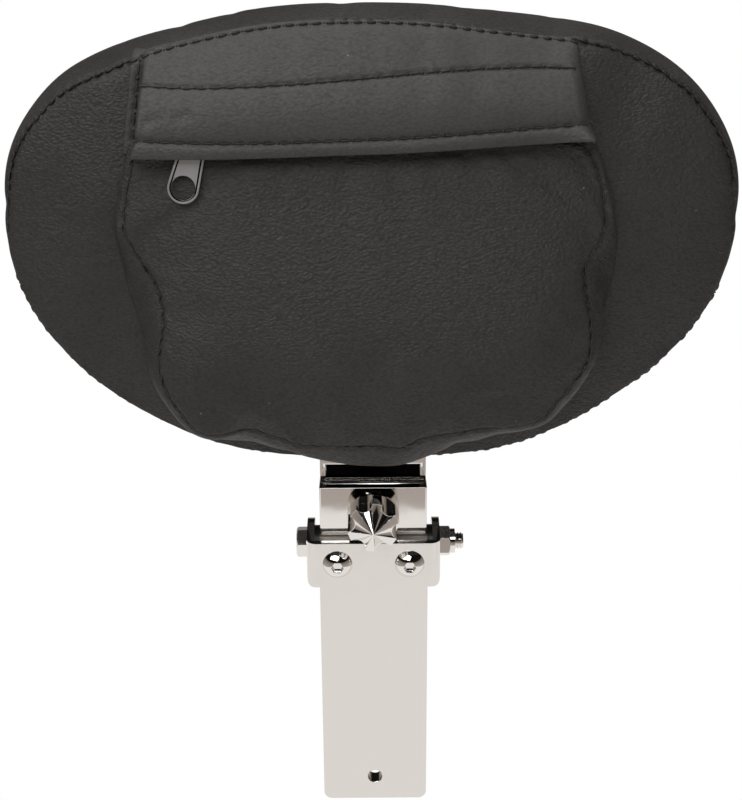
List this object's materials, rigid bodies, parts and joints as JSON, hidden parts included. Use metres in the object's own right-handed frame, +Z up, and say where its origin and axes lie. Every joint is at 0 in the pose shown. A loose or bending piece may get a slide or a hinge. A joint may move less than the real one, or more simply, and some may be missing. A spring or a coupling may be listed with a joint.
{
  "type": "motorcycle backrest",
  "caption": "Oval padded motorcycle backrest with a zipped pouch, on a flat bar post with a folding hinge, a height sleeve and a star clamp knob.",
  "frame": {"origin": "middle of the lock hole near the lower end of the post, at half the post's thickness", "axes": "+Z up along the post, -Y towards the rear of the motorcycle (the pouch side) along the lock hole, +X to the right seen from the pouch side"},
  "size_m": [0.3186, 0.0985, 0.3814],
  "materials": {
    "chrome_bar": "polished",
    "chrome_fasteners": "polished",
    "chrome_knob": "polished",
    "zinc_steel": "zinc plated",
    "brass_tip": "turned",
    "black_plastic": "moulded",
    "plywood": "raw",
    "foam": "open cell foam",
    "black_vinyl": "grained upholstery vinyl",
    "zip_tape": "woven tape",
    "zip_nylon": "moulded",
    "zip_metal": "gunmetal plated"
  },
  "bodies": {
    "post": {"lower_post": "chrome_bar", "pivot_bracket": "chrome_bar", "bracket_screws": "chrome_fasteners", "pivot_bolt": "chrome_fasteners", "pivot_nut": "chrome_fasteners", "pivot_bushes": "black_plastic"},
    "sleeve": {"height_sleeve": "chrome_bar", "hinge_barrel": "chrome_bar", "clamp_nut": "chrome_fasteners"},
    "knob": {"clamp_knob": "chrome_knob", "knob_stud": "zinc_steel", "pressure_pad": "brass_tip"},
    "backrest": {"upright_blade": "chrome_bar", "backing_board": "plywood", "board_screws": "zinc_steel", "tee_nuts": "zinc_steel", "rear_foam": "foam", "front_foam": "foam", "rear_cover": "black_vinyl", "side_band": "black_vinyl", "front_cover": "black_vinyl", "pouch_yoke": "black_vinyl", "pouch_panel": "black_vinyl", "pouch_gusset": "black_vinyl", "zip_flap": "black_vinyl", "zip_tapes": "zip_tape", "zip_teeth": "zip_nylon", "zip_stops": "zip_metal"},
    "slider": {"zip_slider": "zip_metal"},
    "pull": {"zip_pull": "zip_metal"}
  },
  "joints": [
    {"name": "fold", "type": "hinge", "parent": "post", "child": "sleeve", "pos_m": [0, 0.0125, 0.1215], "axis": [-1, 0, 0], "range_deg": [0, 90]},
    {"name": "height", "type": "slide", "parent": "sleeve", "child": "backrest", "axis": [0, 0, 1], "range_m": [0, 0.012]},
    {"name": "clamp_turn", "type": "hinge", "parent": "sleeve", "child": "knob", "pos_m": [0, -0.01, 0.14235], "axis": [0, -1, 0], "continuous": true},
    {"name": "zip_travel", "type": "slide", "parent": "backrest", "child": "slider", "axis": [0.9994, 0, 0.034], "range_m": [0, 0.137]},
    {"name": "pull_swing", "type": "hinge", "parent": "slider", "child": "pull", "pos_m": [-0.0712, -0.023, 0.31808], "axis": [0, -0.9903, 0.1392], "range_deg": [-45, 45]}
  ]
}
